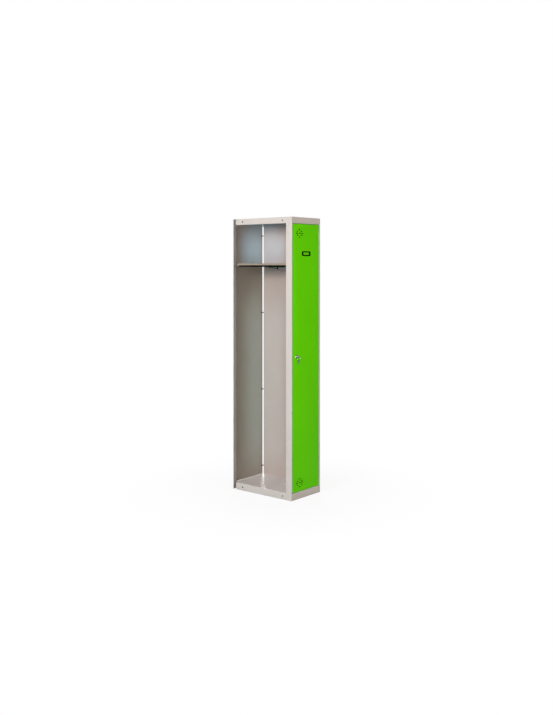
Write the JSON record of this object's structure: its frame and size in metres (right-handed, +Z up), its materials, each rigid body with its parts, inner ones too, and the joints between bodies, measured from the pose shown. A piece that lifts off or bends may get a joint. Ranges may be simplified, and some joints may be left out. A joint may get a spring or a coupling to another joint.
{
  "type": "school locker",
  "caption": "Tall narrow sheet-steel locker bay, open on one side to bolt to a neighbour, with a vented hinged door, cam lock with keys, hat shelf and hanging rail.",
  "frame": {"origin": "on the floor, at the middle of the cabinet's footprint", "axes": "+Z up; +X to the right seen from the front, from the open side to the hinge side; +Y from the front to the back"},
  "size_m": [0.3, 0.5175, 1.8],
  "materials": {
    "frame_paint": "warm light grey powder coat, semi-gloss, fine orange peel",
    "door_paint": "bright green powder coat, semi-gloss, fine orange peel",
    "zinc_steel": "zinc plated",
    "chrome": "polished chrome plate",
    "black_steel": "blackened steel, satin",
    "black_plastic": "moulded, fine matt texture",
    "nylon": "natural nylon",
    "rubber": "matt rubber"
  },
  "bodies": {
    "cabinet": {"top_panel": "frame_paint", "bottom_panel": "frame_paint", "front_post_left": "frame_paint", "front_post_right": "frame_paint", "rear_post_left": "frame_paint", "back_panel": "frame_paint", "right_side_panel": "frame_paint", "shelf": "frame_paint", "hanging_rail": "chrome", "rail_bracket_left": "chrome", "rail_bracket_right": "chrome", "rail_clip": "black_plastic", "hinge_bush_top": "nylon", "hinge_bush_bottom": "nylon", "door_buffer_lower": "rubber", "door_buffer_upper": "rubber", "shelf_clip_front_left": "zinc_steel", "shelf_clip_front_right": "zinc_steel", "shelf_clip_rear_left": "zinc_steel", "shelf_clip_rear_right": "zinc_steel", "corner_strap_1": "black_steel", "corner_strap_2": "black_steel", "corner_strap_3": "black_steel", "corner_strap_4": "black_steel", "rear_post_rivet_1": "zinc_steel", "rear_post_rivet_2": "zinc_steel", "rear_post_rivet_3": "zinc_steel", "rear_post_rivet_4": "zinc_steel", "side_panel_rivet_1": "zinc_steel", "side_panel_rivet_2": "zinc_steel", "side_panel_rivet_3": "zinc_steel", "side_panel_rivet_4": "zinc_steel"},
    "door": {"door_skin": "door_paint", "door_stiffener": "door_paint", "label_holder": "black_plastic", "hinge_pin_top": "zinc_steel", "hinge_pin_bottom": "zinc_steel", "lock_barrel": "chrome", "lock_nut": "zinc_steel"},
    "lock_core": {"lock_plug": "chrome", "lock_cam": "zinc_steel", "cam_screw": "zinc_steel"},
    "lock_key": {"key": "chrome"},
    "ring": {"key_ring": "chrome"},
    "hanging_key": {"spare_key": "chrome"}
  },
  "joints": [
    {"name": "door_swing", "type": "hinge", "parent": "cabinet", "child": "door", "pos_m": [0.125, -0.2425, 0.9], "axis": [0, 0, 1], "range_deg": [0, 110]},
    {"name": "lock_turn", "type": "hinge", "parent": "door", "child": "lock_core", "pos_m": [-0.097, -0.24, 0.911], "axis": [0, -1, 0], "range_deg": [0, 90]},
    {"name": "key_pull", "type": "slide", "parent": "lock_core", "child": "lock_key", "axis": [0, -1, 0], "range_m": [0, 0.018]},
    {"name": "ring_hang", "type": "hinge", "parent": "lock_key", "child": "ring", "pos_m": [-0.097, -0.2595, 0.911], "axis": [0, -1, 0], "range_deg": [-90, 0]},
    {"name": "spare_key_swing", "type": "hinge", "parent": "ring", "child": "hanging_key", "pos_m": [-0.08675, -0.2595, 0.88625], "axis": [-1, 0, 0], "range_deg": [-8, 60]}
  ],
  "couplings": [
    {"joint": "ring_hang", "follows": "lock_turn", "ratio": -1}
  ]
}
